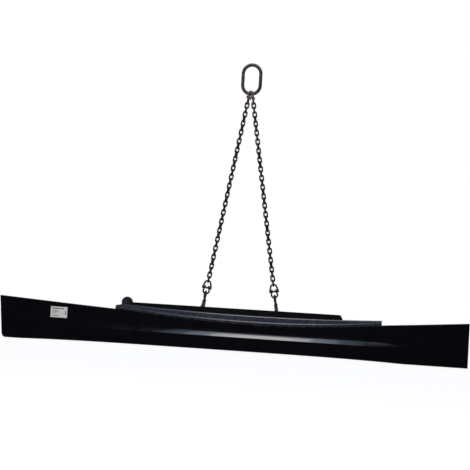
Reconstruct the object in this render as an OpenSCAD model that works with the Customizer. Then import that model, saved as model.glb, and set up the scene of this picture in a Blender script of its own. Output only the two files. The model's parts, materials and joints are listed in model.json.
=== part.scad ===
// Spreader beam with a shaped front cover, hung from a two-leg chain sling.
// X runs along the beam, -Y is the covered front, +Z is up.
// The origin is where a crane hook bears on the inside of the master link.

/* [Beam] */
// Length of the beam on the left of the sling's centre
left_len = 1270; // [1100:10:1400]
// Length of the beam on the right of the sling's centre
right_len = 1170; // [1100:10:1400]
// Distance between the two lifting lugs
lug_spacing = 400; // [300:10:500]
// Distance of each load lug from the sling's centre
load_lug_x = 960; // [800:10:1000]

/* [Front cover] */
// Thickness of the cover's sheet
skin_t = 2; // [1.5:0.5:3]
// Height of the cover at its ends
end_h = 222; // [200:1:240]
// Height of the cover at its lowest place
waist_h = 150; // [140:1:160]
// Height of the crease below the hollow
crease_h = 80; // [70:1:90]
// Radius of the hollow above the crease
cove_r = 66; // [50:1:80]
// Rise of the bottom edge along the middle
camber = 9; // [0:1:15]

/* [Ledge and rail] */
// Left end of the ledge
ledge_x0 = -645; // [-700:5:-600]
// Right end of the ledge
ledge_x1 = 738; // [700:1:760]
// Lowest height of the ledge's top
ledge_h = 194; // [185:1:205]
// Left end of the lug rail
rail_x0 = -575; // [-590:5:-540]
// Right end of the lug rail
rail_x1 = 530; // [500:5:560]
// Height of the rail's top edge
rail_h = 225; // [215:1:230]
// Thickness of the rail
rail_t = 6; // [5:1:10]

/* [Spine] */
// Height of the hollow section
spine_h = 120; // [100:10:120]
// Width of the hollow section
spine_w = 80; // [60:10:80]
// Wall of the hollow section
spine_t = 6; // [4:1:8]
// Half the length of the hollow section
spine_half = 1090; // [1050:10:1100]
// Sideways shift of the section that balances the longer left end
spine_dx = 17; // [0:1:40]
// Distance of the section's centre behind the hooks, which balances the cover
spine_y = 29.6; // [15:0.1:40]

/* [Sling] */
// Wire of the chain
chain_d = 8; // [7:1:8]
// Pitch of the chain
pitch = 24; // [23.8:0.1:24.2]
// Links in one leg, in groups that fold as one
group_links = 8; // [6:2:8]
// Wire of the master link
master_d = 18; // [16:1:18]

/* [Hidden] */
$fn = 48;

// ---- stations along one leg, measured from the centre of the master link's lower bow
groups = 5;
links = groups*group_links;
link_in_l = pitch + 0.5;                      // inside length of a chain link
link_in_w = 1.3*chain_d;                      // inside width of a chain link
link_r = (link_in_w + chain_d)/2;             // bend radius of the link's wire
master_r = 37.5;                              // inside radius of the master link
master_l = 135;                               // inside length of the master link
gap = 0.4;                                    // slack where two links bear
bow_wire = 9;
bow_in_r = 11.5;
bow_r = bow_in_r + bow_wire/2;
bow_half_l = 30;                              // pin to the inside of the bow
eye_r = 16.5;
eye_wire = 11;
bowl_r = 23;
bowl_wire = 16;
lug_hole_r = 17;
lug_bear = 12.7;                              // bowl centre to the top of the lug's hole
s_top = master_r - 0.3 + bow_half_l;          // pin of the top coupler
s_link1 = s_top + bow_half_l - gap + link_in_l/2;
s_last = s_link1 + (links - 1)*pitch;
s_bottom = s_last + link_in_l/2 - gap + bow_half_l;
s_eye = s_bottom + bow_half_l - gap + eye_r - eye_wire/2;
s_bowl = s_eye + 69;
s_hole = s_bowl + lug_bear + lug_hole_r;
leg_a = asin(lug_spacing/2/s_hole);
bow_z = master_r - master_l;                  // height of the lower bow's centre

// ---- heights of the beam, from its base
hole_h = 188;
base_z = bow_z - s_hole*cos(leg_a) - hole_h;
spine_z0 = 42;
spine_top = spine_z0 + spine_h;
skin_y = -88;
ramp_x0 = -585;
ramp_x1 = 740;
waist_x = 100;
waist_r = [7100, 5500];                       // how slowly the top edge rises to the left and to the right

function clamp01(t) = min(1, max(0, t));
function smooth(t) = let (u = clamp01(t)) u*u*(3 - 2*u);
function mix(a, b, t) = a + (b - a)*t;

// top edge of the cover: a long shallow dip between two straight ramps
function dip(x) = waist_h + pow(x - waist_x, 2)/2/waist_r[x < waist_x ? 0 : 1];
function left_ramp(x) = end_h - (end_h - dip(ramp_x0))/(left_len + ramp_x0)*(x + left_len);
function right_ramp(x) = mix(dip(ramp_x1), end_h + 2, (x - ramp_x1)/(right_len - ramp_x1));
function skin_top(x) = x < ramp_x0 ? left_ramp(x) : x > ramp_x1 ? right_ramp(x) : dip(x);
function skin_base(x) = let (d = x + left_len, r = 20)
    camber*max(0, 1 - pow((x + 150)/1000, 4)) + (d < r ? r - sqrt(r*r - pow(r - d, 2)) : 0);
// how deep the hollow is: full in the middle, none at the flat ends
function cove_w(x) = smooth((x + 1020)/480)*smooth((1080 - x)/420);
function ledge_top(x) = ledge_h + pow(x - waist_x, 2)/25000;

// outward faces of the cover at one place along it, from the bottom lip to the top lip
cove_n = 6;
function skin_line(x) = let (
    w = cove_w(x), b = skin_base(x), top = skin_top(x), c = crease_h + 10*(1 - w), a = 3 + 42*w,
    depth = cove_r*(1 - cos(a)), yt = skin_y - 2 + depth + 4*(1 - w), lip = 22)
    concat(
        [[skin_y + 20, b], [skin_y + 6, b], [skin_y + 2, b + 1.5], [skin_y, b + 5], [skin_y - 2, c]],
        [for (i = [1:cove_n]) let (q = a*(1 - i/cove_n))
            [skin_y - 2 + depth - cove_r*(1 - cos(q)), c + cove_r*(sin(a) - sin(q))]],
        [[yt - 4*(1 - w) + 1, top - 4], [yt - 4*(1 - w) + 2.5, top - 1], [yt - 4*(1 - w) + 6, top],
         [yt - 4*(1 - w) + lip, top]]);

// the same line moved inwards by the thickness of the sheet
function unit2(v) = v/norm(v);
function edge_dir(l, i) = unit2(l[min(i + 1, len(l) - 1)] - l[max(i - 1, 0)]);
function inset_line(l, t) = [for (i = [0:len(l) - 1]) let (d = edge_dir(l, i)) l[i] + t*[d[1], -d[0]]];

// a sheet lofted through sections; each section is a list of [y, z], outside then inside
module sheet(xs, lines, t, lean = 0) {
    n = len(lines[0]);
    rings = [for (l = lines) let (back = inset_line(l, t)) concat(l, [for (i = [n - 1:-1:0]) back[i]])];
    m = 2*n;
    pts = [for (k = [0:len(xs) - 1]) for (p = rings[k])
        [xs[k] + lean*clamp01(1 - (xs[k] - xs[0])/120)*(1 - p[1]/end_h), p[0], p[1] + base_z]];
    sides = [for (k = [0:len(xs) - 2]) for (i = [0:m - 1]) let (j = (i + 1)%m, a = k*m, b = a + m)
        each [[a + i, b + i, b + j], [a + i, b + j, a + j]]];
    function cap(k, flip) = [for (i = [0:n - 2]) let (a = k*m + i, b = a + 1, c = k*m + m - 1 - i, d = c - 1)
        each (flip ? [[a, b, d], [a, d, c]] : [[a, d, b], [a, c, d]])];
    polyhedron(pts, concat(sides, cap(0, true), cap(len(xs) - 1, false)));
}

// ---- shared shapes
module rod(a, b, r) {
    v = b - a;
    l = norm(v);
    translate(a) rotate([0, acos(v[2]/l), atan2(v[1], v[0])]) cylinder(r = r, h = l);
}

module ball(p, r) {
    translate(p) sphere(r = r);
}

// part of a ring in the XZ plane, from one angle to another, 0 along +X and 90 up
module arc_wire(r, wire_r, a0, a1) {
    rotate([90, 0, 0]) rotate([0, 0, a0]) rotate_extrude(angle = a1 - a0) translate([r, 0]) circle(r = wire_r);
}

// a leg's frame: origin at the bow's centre, -Z down the leg
module on_leg(side) {
    translate([0, 0, bow_z]) rotate([0, -side*leg_a, 0]) children();
}

module x_cylinder(r, x0, x1) {
    translate([x0, 0, 0]) rotate([0, 90, 0]) cylinder(r = r, h = x1 - x0);
}

module y_cylinder(r, y0, y1) {
    translate([0, y0, 0]) rotate([-90, 0, 0]) cylinder(r = r, h = y1 - y0);
}

// an oval ring in the XZ plane
module oval(r, half, wire_r) {
    translate([0, 0, half]) arc_wire(r, wire_r, 0, 180);
    translate([0, 0, -half]) arc_wire(r, wire_r, 180, 360);
    for (s = [-1, 1]) translate([s*r, 0, -half]) cylinder(r = wire_r, h = 2*half);
}

// ---- sling
module master_link() {
    color("#3a2a2c") translate([0, 0, -master_l/2])
        oval(master_r + master_d/2, master_l/2 - master_r, master_d/2);
}

pin_r = 5;
ear_r = 9.5;
ear_h = 8;
upper_x = 21;
lower_x = 12.4;

// one forged half: a bow above, two ears on the pin below
module coupler_half(ear_x) {
    z = bow_half_l - bow_in_r;
    difference() {
        union() {
            translate([0, 0, z]) arc_wire(bow_r, bow_wire/2, 0, 180);
            for (s = [-1, 1]) {
                rod([s*bow_r, 0, z], [s*ear_x, 0, 5], bow_wire/2);
                ball([s*bow_r, 0, z], bow_wire/2);
                translate([s*ear_x, 0, 0]) x_cylinder(ear_r, -ear_h/2, ear_h/2);
            }
        }
        x_cylinder(pin_r + 0.1, -40, 40);
        x_cylinder(ear_r + 1.5, -ear_x + ear_h/2, ear_x - ear_h/2);
        if (ear_x < 20) for (s = [0, 180]) rotate([0, 0, s]) x_cylinder(ear_r + 1.5, ear_x + ear_h/2, 40);
    }
}

module coupler_piece(piece) {
    if (piece == "upper") color("#5c1f1c") coupler_half(upper_x);
    if (piece == "lower") color("#5c1f1c") rotate([180, 0, 0]) coupler_half(lower_x);
    if (piece == "pin") color("#33302f") x_cylinder(pin_r, -upper_x - ear_h/2, upper_x + ear_h/2);
    if (piece == "bush") color("#8d8f90") difference() {
        x_cylinder(pin_r + 3, -7.5, 7.5);
        x_cylinder(pin_r + 0.05, -8, 8);
    }
}

module top_coupler(side, piece) {
    on_leg(side) translate([0, 0, -s_top]) rotate([0, 0, 90]) coupler_piece(piece);
}

module bottom_coupler(side, piece) {
    on_leg(side) translate([0, 0, -s_bottom]) coupler_piece(piece);
}

module chain_group(side, g) {
    color("#232323") on_leg(side) for (k = [0:group_links - 1])
        translate([0, 0, -s_link1 - (g*group_links + k)*pitch]) rotate([0, 0, k%2 == 0 ? 0 : 90])
            oval(link_r, (link_in_l + chain_d)/2 - link_r, chain_d/2);
}

// places in the hook's own plane: first to the back, then up from the bowl's centre
neck_low = [bowl_r, 22];
neck_mid = [18, 38];
neck_high = [8, 52];
tip_a = 24;
latch_y = 9;
latch_z = 36;
latch_len = 35;
latch_tilt = 36;
latch_w = 15;

// the hook lies in the YZ plane with its back towards +Y
module hook() {
    color("#1d1d1f") difference() {
        union() {
            translate([0, 0, s_bowl - s_eye]) rotate([0, 0, 90]) arc_wire(eye_r, eye_wire/2, 0, 360);
            rotate([0, 0, 90]) arc_wire(bowl_r, bowl_wire/2, 180 - tip_a, 360);
            rod([0, bowl_r, 0], [0, neck_low[0], neck_low[1]], bowl_wire/2);
            rod([0, neck_low[0], neck_low[1]], [0, neck_mid[0], neck_mid[1]], 7.2);
            rod([0, neck_mid[0], neck_mid[1]], [0, neck_high[0], neck_high[1]], 6.6);
            ball([0, bowl_r, 0], 8.3);
            ball([0, neck_low[0], neck_low[1]], 8.3);
            ball([0, neck_mid[0], neck_mid[1]], 7.6);
            ball([0, neck_high[0], neck_high[1]], 7.1);
            translate([0, -bowl_r*cos(tip_a), bowl_r*sin(tip_a)]) rotate([-tip_a, 0, 0])
                translate([0, 0, -0.5]) cylinder(r1 = 7.7, r2 = 4.5, h = 8);
            translate([0, latch_y, latch_z]) x_cylinder(4.5, -4, 4);
            rod([0, latch_y, latch_z], [0, neck_mid[0], neck_mid[1]], 3.8);
        }
        translate([0, latch_y, latch_z]) x_cylinder(2.05, -20, 20);
    }
}

// a folded plate from the pin to the inside of the tip
module latch() {
    color("#6e6a62") translate([0, latch_y, latch_z]) rotate([latch_tilt, 0, 0]) difference() {
        union() {
            for (s = [-1, 1]) translate([s*(latch_w/2 - 0.75), 0, 0]) {
                x_cylinder(4.4, -0.75, 0.75);
                translate([-0.75, -18, -1.5]) cube([1.5, 18, 5]);
            }
            translate([-latch_w/2, -latch_len + 5, -2.6]) cube([latch_w, latch_len - 12, 1.6]);
            for (s = [-1, 1]) translate([s*(latch_w/2 - 0.75) - 0.75, -18, -2.6]) cube([1.5, 11, 3]);
        }
        x_cylinder(2.05, -20, 20);
    }
}

module latch_pin() {
    color("#8f8f8c") translate([0, latch_y, latch_z]) {
        x_cylinder(2, -9.5, 9.5);
        x_cylinder(3.2, -10.5, -8.2);
        x_cylinder(3.2, 8.2, 10.5);
    }
}

// two coils on the pin, one on each side of the hook's boss
module latch_spring() {
    color("#b0b0ac") translate([0, latch_y, latch_z]) for (s = [-1, 1]) for (k = [0:1])
        translate([s*(4.55 + 0.9*k), 0, 0]) rotate([0, 90, 0])
            rotate_extrude() translate([2.45, 0]) circle(r = 0.4);
}

module on_hook(side) {
    on_leg(side) translate([0, 0, -s_bowl]) children();
}

// ---- beam
module on_beam() {
    translate([0, 0, base_z]) children();
}

// an upright plate in the XZ plane with a round end about a hole
module lug(x, z_hole, z_foot, hole_r, rim, foot_w, t) {
    r = hole_r + rim;
    s = sign(z_foot - z_hole);
    color("#1b1b1d") on_beam() translate([x, t/2, z_hole]) rotate([90, 0, 0]) difference() {
        union() {
            cylinder(r = r, h = t);
            linear_extrude(height = t) polygon([[-r, 0], [-foot_w/2, z_foot - z_hole - s*8],
                [-foot_w/2, z_foot - z_hole], [foot_w/2, z_foot - z_hole],
                [foot_w/2, z_foot - z_hole - s*8], [r, 0]]);
        }
        translate([0, 0, -1]) cylinder(r = hole_r, h = t + 2);
        translate([-foot_w, min(z_foot - z_hole, z_foot - z_hole + s*40), -1]) cube([2*foot_w, 40, t + 2]);
    }
}

module lifting_lug(side) {
    lug(side*lug_spacing/2, hole_h, spine_top, lug_hole_r, 14, 120, 15);
}

load_hole_h = 25;

module load_lug(side) {
    lug(side*load_lug_x, load_hole_h, spine_z0, 11, 12, 90, 15);
}

module spine_tube() {
    color("#202024") on_beam() translate([spine_dx - spine_half, spine_y, spine_z0 + spine_h/2])
        rotate([90, 0, 90]) linear_extrude(height = 2*spine_half) difference() {
            square([spine_w, spine_h], center = true);
            square([spine_w - 2*spine_t, spine_h - 2*spine_t], center = true);
        }
}

module spine_cap(side) {
    color("#141416") on_beam() translate([spine_dx + side*spine_half, spine_y, spine_z0 + spine_h/2])
        rotate([0, side*90, 0]) translate([-spine_h/2, -spine_w/2, 0]) cube([spine_h, spine_w, 5]);
}

rib_t = 5;
rib_x = [-1050, -790, -530, -130, 130, 470, 790, 1070];
rib_y1 = spine_y - spine_w/2;
rib_y0 = skin_y + 4;
tab_h = [36, 64];

// plates from the section's front wall to the cover, each with a turned tab for its bolts
module ribs() {
    color("#202024") on_beam() for (x = rib_x) {
        translate([x - rib_t/2, 0, 0]) rotate([90, 0, 90]) linear_extrude(height = rib_t)
            polygon([[rib_y0, 24], [rib_y0 + 44, 24], [rib_y1, 48], [rib_y1, 112], [rib_y0 + 18, 112], [rib_y0, 74]]);
        translate([x + rib_t/2, rib_y0 + 3, 24]) difference() {
            cube([26, 4, 52]);
            for (z = tab_h) translate([15, -1, z - 24]) y_cylinder(4.5, 0, 6);
        }
    }
}

stud_y = skin_y + skin_t - 0.2;

// studs on the back of the cover pass through the ribs' tabs
module cover_bolts() {
    color("#55585a") on_beam() for (x = rib_x, z = tab_h) translate([x + rib_t/2 + 15, 0, z]) {
        y_cylinder(4, stud_y, rib_y0 + 20);
        y_cylinder(8, stud_y, rib_y0 + 1);
    }
}

module hex_nut(af, h, hole_r) {
    rotate([-90, 0, 0]) difference() {
        cylinder(r = af/sqrt(3), h = h, $fn = 6);
        translate([0, 0, -1]) cylinder(r = hole_r, h = h + 2);
    }
}

module cover_nuts() {
    color("#8a8c8c") on_beam() for (x = rib_x, z = tab_h)
        translate([x + rib_t/2 + 15, rib_y0 + 7, z]) hex_nut(13, 6.5, 4.05);
}

rail_y = -44;
bracket_x = [-520, -290, -90, 90, 290, 480];
rail_bolt_h = 134;

module lug_rail() {
    color("#17171b") on_beam() translate([0, rail_y + rail_t, 0]) rotate([90, 0, 0])
        linear_extrude(height = rail_t) difference() {
            polygon([[rail_x0, 118], [rail_x1 - 6, 118], [rail_x1 + 12, 200], [rail_x1, rail_h - 3],
                [rail_x1 - 4, rail_h], [rail_x0, rail_h]]);
            for (x = bracket_x) translate([x, rail_bolt_h]) circle(r = 5.5);
        }
}

stop_x = -592;
stop_h = 222;
stop_r = 30;
stop_t = 8;

// a round-headed stop on the rail's left end that keeps slings from sliding off
module rail_stop() {
    color("#2b2b30") on_beam() translate([stop_x, rail_y + rail_t, 0]) {
        translate([0, 0, stop_h]) y_cylinder(stop_r, 0, stop_t);
        translate([-24, 0, 180]) cube([64, stop_t, stop_h - 192]);
    }
}

// angles that carry the rail on top of the section
module rail_brackets() {
    color("#202024") on_beam() for (x = bracket_x) difference() {
        union() {
            translate([x - 25, rail_y + rail_t, 122]) cube([50, 6, 46]);
            translate([x - 25, rail_y + rail_t, spine_top]) cube([50, 52, 6]);
        }
        translate([x, 0, rail_bolt_h]) y_cylinder(5.5, rail_y, rail_y + rail_t + 12);
    }
}

module rail_bolts() {
    color("#55585a") on_beam() for (x = bracket_x) translate([x, 0, rail_bolt_h]) {
        y_cylinder(5, rail_y - 6, rail_y + rail_t + 17);
        y_cylinder(9.5, rail_y - 6, rail_y);
    }
}

module rail_nuts() {
    color("#8a8c8c") on_beam() for (x = bracket_x)
        translate([x, rail_y + rail_t + 6, rail_bolt_h]) hex_nut(17, 8, 5.05);
}

ledge_y = skin_y + 19;
lip_gap = 0.2;

// outward line of the ledge cap: a foot on the cover's lip, a bead, a slope and a fold
function ledge_line(x) = let (a = skin_top(x) + lip_gap, y0 = ledge_y,
    top = mix(a + 20, ledge_top(x), smooth((x - ledge_x0)/40)))
    [[y0 + 8, a], [y0 + 1, a], [y0 - 2.2, a + 1], [y0 - 3.2, a + 3.4], [y0 - 2.2, a + 6], [y0 + 1, a + 8.6],
     [y0 + 8, mix(a, top, 0.55)], [y0 + 12.5, top - 8], [y0 + 15, top - 3.5], [y0 + 19, top - 0.8], [y0 + 24.5, top]];

module ledge_cap() {
    steps = 30;
    xs = concat([for (d = [0, 8, 16, 24, 32, 40]) ledge_x0 + d],
        [for (i = [1:steps]) mix(ledge_x0 + 40, ledge_x1, i/steps)]);
    color("#22242f") sheet(xs, [for (x = xs) ledge_line(x)], 2);
}

module front_skin() {
    steps = 48;
    xs = concat([-left_len, -left_len + 3, -left_len + 8, -left_len + 20],
        [for (i = [1:steps]) mix(-left_len + 20, right_len, i/steps)]);
    color("#0c0c12") sheet(xs, [for (x = xs) skin_line(x)], skin_t, 20);
}

end_inset = 40;

// stiffeners that close the cover behind its ends
module end_plate(side) {
    x = side < 0 ? -left_len + end_inset : right_len - end_inset - 4;
    color("#0f0f13") on_beam() translate([x, 0, 0]) rotate([90, 0, 90]) linear_extrude(height = 4)
        polygon([[skin_y + 3, 5], [rib_y1 - 2, 30], [rib_y1 - 2, 180], [skin_y + 25, end_h - 14],
            [skin_y + 4, end_h - 14]]);
}

// a blank plate near the left end
module rating_label() {
    color("#d9d9d6") on_beam() translate([-988, skin_y - 4.2, 123]) cube([90, 2, 57]);
}

master_link();
top_coupler(-1, "upper");  // left_top_upper_half
top_coupler(-1, "lower");  // left_top_lower_half
top_coupler(-1, "pin");  // left_top_pin
top_coupler(-1, "bush");  // left_top_bush
top_coupler(1, "upper");  // right_top_upper_half
top_coupler(1, "lower");  // right_top_lower_half
top_coupler(1, "pin");  // right_top_pin
top_coupler(1, "bush");  // right_top_bush
chain_group(-1, 0);  // left_chain_1
chain_group(-1, 1);  // left_chain_2
chain_group(-1, 2);  // left_chain_3
chain_group(-1, 3);  // left_chain_4
chain_group(-1, 4);  // left_chain_5
chain_group(1, 0);  // right_chain_1
chain_group(1, 1);  // right_chain_2
chain_group(1, 2);  // right_chain_3
chain_group(1, 3);  // right_chain_4
chain_group(1, 4);  // right_chain_5
bottom_coupler(-1, "upper");  // left_bottom_upper_half
bottom_coupler(-1, "lower");  // left_bottom_lower_half
bottom_coupler(-1, "pin");  // left_bottom_pin
bottom_coupler(-1, "bush");  // left_bottom_bush
bottom_coupler(1, "upper");  // right_bottom_upper_half
bottom_coupler(1, "lower");  // right_bottom_lower_half
bottom_coupler(1, "pin");  // right_bottom_pin
bottom_coupler(1, "bush");  // right_bottom_bush
on_hook(-1) hook();  // left_hook
on_hook(-1) latch();  // left_latch
on_hook(-1) latch_pin();  // left_latch_pin
on_hook(-1) latch_spring();  // left_latch_spring
on_hook(1) hook();  // right_hook
on_hook(1) latch();  // right_latch
on_hook(1) latch_pin();  // right_latch_pin
on_hook(1) latch_spring();  // right_latch_spring
lifting_lug(-1);  // left_lifting_lug
lifting_lug(1);  // right_lifting_lug
load_lug(-1);  // left_load_lug
load_lug(1);  // right_load_lug
spine_tube();
spine_cap(-1);  // left_spine_cap
spine_cap(1);  // right_spine_cap
ribs();
rail_brackets();
end_plate(-1);  // left_end_plate
end_plate(1);  // right_end_plate
front_skin();
ledge_cap();
lug_rail();
rail_stop();
cover_bolts();
cover_nuts();
rail_bolts();
rail_nuts();
rating_label();
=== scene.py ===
"""Spreader beam on a two-leg chain sling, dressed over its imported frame.

X runs along the beam, -Y is the covered front and +Z is up. Lengths are in metres, and the
origin is where a crane hook bears on the inside of the master link.
"""
import json
import logging
import math
from collections.abc import Callable, Iterator, Sequence
from contextlib import contextmanager
from dataclasses import dataclass, field
from enum import Enum

import bmesh
import bpy
from mathutils import Matrix, Vector

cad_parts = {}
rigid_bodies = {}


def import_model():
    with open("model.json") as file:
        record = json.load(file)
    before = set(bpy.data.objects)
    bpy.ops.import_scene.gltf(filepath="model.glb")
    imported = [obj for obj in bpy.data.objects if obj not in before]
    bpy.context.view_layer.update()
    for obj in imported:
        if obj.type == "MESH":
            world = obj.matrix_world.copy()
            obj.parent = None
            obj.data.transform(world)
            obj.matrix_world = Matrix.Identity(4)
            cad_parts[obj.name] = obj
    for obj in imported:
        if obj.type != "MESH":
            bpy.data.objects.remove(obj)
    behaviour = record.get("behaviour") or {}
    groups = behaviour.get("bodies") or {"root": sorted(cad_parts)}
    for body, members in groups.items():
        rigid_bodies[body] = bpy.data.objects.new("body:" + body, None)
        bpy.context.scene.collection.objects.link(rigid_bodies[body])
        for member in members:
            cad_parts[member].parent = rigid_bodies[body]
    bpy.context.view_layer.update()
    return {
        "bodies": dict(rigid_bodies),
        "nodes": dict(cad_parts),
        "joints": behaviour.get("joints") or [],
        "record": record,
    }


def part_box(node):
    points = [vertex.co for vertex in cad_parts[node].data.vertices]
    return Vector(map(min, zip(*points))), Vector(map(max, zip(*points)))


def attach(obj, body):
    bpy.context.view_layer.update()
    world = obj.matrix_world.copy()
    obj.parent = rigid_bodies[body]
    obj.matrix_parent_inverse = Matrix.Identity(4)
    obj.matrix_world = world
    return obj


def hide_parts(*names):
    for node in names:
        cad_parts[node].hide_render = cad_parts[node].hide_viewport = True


MM = 0.001
Colour = tuple[float, float, float]
Section = list[tuple[float, float]]
log = logging.getLogger("spreader_beam")


# ---- numbers
def clamp01(t: float) -> float:
    """Limit t to the range from 0 to 1."""
    return min(1.0, max(0.0, t))


def smooth(t: float) -> float:
    """Ease t from 0 to 1 with level ends."""
    u = clamp01(t)
    return u * u * (3 - 2 * u)


def mix(a: float, b: float, t: float) -> float:
    """Go from a to b as t goes from 0 to 1."""
    return a + (b - a) * t


# ---- bench work
def hold(obj: bpy.types.Object) -> None:
    """Make obj the only selected object, and the active one."""
    if bpy.context.mode != "OBJECT":
        bpy.ops.object.mode_set(mode="OBJECT")
    bpy.ops.object.select_all(action="DESELECT")
    obj.select_set(True)
    bpy.context.view_layer.objects.active = obj


def take(name: str) -> bpy.types.Object:
    """Name the primitive just added, put its place into its mesh and return it.

    Args:
        name: Name for the object and its mesh.

    Returns:
        The object, at the origin, unturned and unscaled.
    """
    obj = bpy.context.object
    obj.name = obj.data.name = name
    bpy.ops.object.transform_apply(location=True, rotation=True, scale=True)
    return obj


@contextmanager
def editing(obj: bpy.types.Object) -> Iterator[bpy.types.Object]:
    """Hold obj in edit mode with nothing selected.

    Args:
        obj: The mesh object to edit.

    Yields:
        The same object.
    """
    hold(obj)
    bpy.ops.object.mode_set(mode="EDIT")
    bpy.ops.mesh.select_all(action="DESELECT")
    yield obj
    bpy.ops.object.mode_set(mode="OBJECT")


class Kind(Enum):
    """What choose picks, with the select mode that goes with it."""

    VERTS = "VERT"
    EDGES = "EDGE"
    FACES = "FACE"


def choose(obj: bpy.types.Object, kind: Kind, test: Callable) -> None:
    """Select the elements of an edited mesh that pass a test, and no others.

    Args:
        obj: Object in edit mode.
        kind: Vertices, edges or faces.
        test: Called with each bmesh element.
    """
    bpy.ops.mesh.select_mode(type=kind.value)
    bpy.ops.mesh.select_all(action="DESELECT")
    sheet = bmesh.from_edit_mesh(obj.data)
    for item in {"VERT": sheet.verts, "EDGE": sheet.edges, "FACE": sheet.faces}[kind.value]:
        if test(item):
            item.select_set(True)
    bmesh.update_edit_mesh(obj.data)


def finish_with(obj: bpy.types.Object, kind: str, **values: object) -> None:
    """Add a modifier, set its values and apply it.

    Args:
        obj: The object.
        kind: Type of the modifier.
        values: Attributes of the modifier.
    """
    hold(obj)
    modifier = obj.modifiers.new(kind.lower(), kind)
    for key, value in values.items():
        setattr(modifier, key, value)
    bpy.ops.object.modifier_apply(modifier=modifier.name)


def soften(obj: bpy.types.Object, degrees: float = 30) -> None:
    """Shade obj smooth, apart from edges sharper than an angle."""
    hold(obj)
    bpy.ops.object.shade_smooth_by_angle(angle=math.radians(degrees))


def place_copy(source: bpy.types.Object, name: str, where: Matrix) -> bpy.types.Object:
    """Copy an object with a mesh of its own and put the place into the mesh.

    Args:
        source: The object to copy.
        name: Name of the copy.
        where: Place of the copy, measured from the source.

    Returns:
        The copy, linked into the scene.
    """
    mesh = source.data.copy()
    mesh.transform(where)
    copy = bpy.data.objects.new(name, mesh)
    bpy.context.scene.collection.objects.link(copy)
    return copy


def join(pieces: Sequence[bpy.types.Object], name: str) -> bpy.types.Object:
    """Join several objects into one.

    Args:
        pieces: The objects; the first one takes in the others.
        name: Name of the result.

    Returns:
        The joined object.
    """
    hold(pieces[0])
    for piece in pieces[1:]:
        piece.select_set(True)
    bpy.ops.object.join()
    pieces[0].name = pieces[0].data.name = name
    return pieces[0]


def discard(obj: bpy.types.Object) -> None:
    """Remove an object that was only a pattern for copies."""
    bpy.data.objects.remove(obj, do_unlink=True)


def rounded(corners: Sequence[tuple[float, float, float]], steps: int) -> Section:
    """Round the corners of a line.

    Args:
        corners: Points (y, z, radius) along the line. The two ends aren't rounded.
        steps: Segments in each rounded corner.

    Returns:
        The line's points.
    """
    points = [Vector(c[:2]) for c in corners]
    line = [points[0]]
    for before, here, after, corner in zip(points, points[1:], points[2:], corners[1:]):
        back, on = (before - here), (after - here)
        half_turn = (math.pi - back.angle(on, math.pi)) / 2
        reach = min(corner[2] * math.tan(half_turn), 0.45 * back.length, 0.45 * on.length)
        start, end = here + back.normalized() * reach, here + on.normalized() * reach
        for i in range(steps + 1):
            t = i / steps
            line.append(start * (1 - t) ** 2 + here * 2 * t * (1 - t) + end * t * t)
    line.append(points[-1])
    return [(p.x, p.y) for p in line]


def curved(points: Section, steps: int) -> Section:
    """Draw a smooth line through points.

    Args:
        points: Points (y, z) that the line passes through.
        steps: Segments between two points.

    Returns:
        The smooth line's points.
    """
    ends = [Vector(p) for p in (points[0], *points, points[-1])]
    line = []
    for a, b, c, d in zip(ends, ends[1:], ends[2:], ends[3:]):
        for i in range(steps):
            t = i / steps
            p = 0.5 * (2 * b + (c - a) * t + (2 * a - 5 * b + 4 * c - d) * t * t
                       + (3 * b - a - 3 * c + d) * t ** 3)
            line.append((p.x, p.y))
    return line + [tuple(points[-1])]


def formed_sheet(name: str, stations: Sequence[float], section: Callable[[float], Section],
                 place: Callable[[float, float, float], Vector]) -> bpy.types.Object:
    """Shape a grid into a sheet that follows a changing section, facing the front.

    Args:
        name: Name of the sheet.
        stations: Places along X.
        section: Gives the section's points (y, z) at a station.
        place: Turns (x, y, z) in the beam's measures into a place in the frame.

    Returns:
        The sheet, without thickness.
    """
    lines = [section(x) for x in stations]
    across = len(lines[0])
    bpy.ops.object.select_all(action="DESELECT")
    bpy.ops.mesh.primitive_grid_add(x_subdivisions=across - 1, y_subdivisions=len(stations) - 1, size=1)
    sheet = take(name)
    for i, vertex in enumerate(sheet.data.vertices):
        row, column = divmod(i, across)
        vertex.co = place(stations[row], *lines[row][column])
    facing = sum(p.normal.y * p.area for p in sheet.data.polygons)
    if facing > 0:
        with editing(sheet):
            bpy.ops.mesh.select_all(action="SELECT")
            bpy.ops.mesh.flip_normals()
    return sheet


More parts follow.
